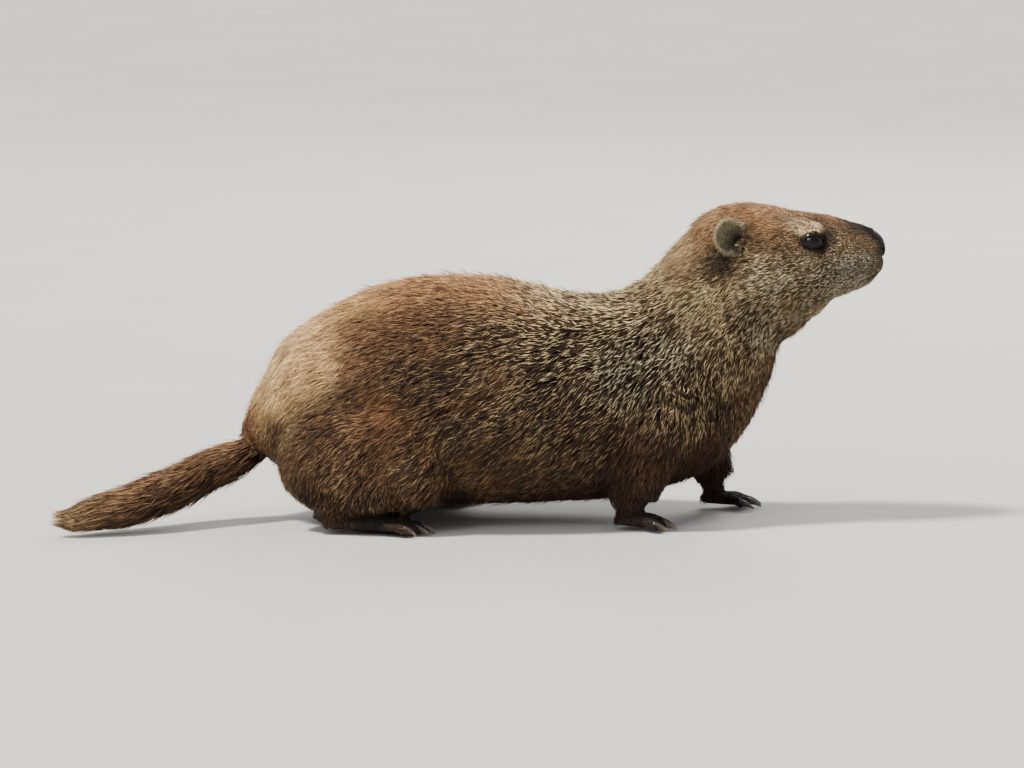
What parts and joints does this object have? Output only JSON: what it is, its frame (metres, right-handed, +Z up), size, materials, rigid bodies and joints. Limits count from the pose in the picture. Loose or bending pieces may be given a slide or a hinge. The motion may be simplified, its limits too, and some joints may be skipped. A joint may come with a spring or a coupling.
{
  "type": "groundhog",
  "caption": "Life-size still model of a groundhog, a stout ground squirrel with small round ears, short legs and a bushy tail, walking low with its head raised.",
  "frame": {"origin": "centre of the animal's own box in plan, at floor level under the soles", "axes": "+X towards the head, +Y towards the animal's left side, +Z up"},
  "size_m": [0.5084, 0.1616, 0.1981],
  "materials": {
    "head": "short fur, chestnut on the crown, yellowish grey on the cheek, whitish round the mouth",
    "neck": "grizzled tan and dark brown fur",
    "torso": "coarse flat-lying fur, dark brown with pale tips, golden on the rump",
    "tail": "bushy dark brown hair with a reddish upper side",
    "leg": "dark reddish-brown fur",
    "foot": "short blackish hair over dark skin, with dark horn claws",
    "ear": "thin grey-brown skin with a pale haired rim",
    "eye": "wet, glossy, nearly black",
    "nose": "bare, dark, slightly moist skin"
  },
  "bodies": {
    "root": {"head": "head", "neck": "neck", "torso": "torso", "tail": "tail", "right_fore_leg": "leg", "left_fore_leg": "leg", "right_hind_leg": "leg", "left_hind_leg": "leg", "right_fore_foot": "foot", "left_fore_foot": "foot", "right_hind_foot": "foot", "left_hind_foot": "foot", "right_ear": "ear", "left_ear": "ear", "right_eye": "eye", "left_eye": "eye", "nose": "nose"}
  },
  "joints": []
}
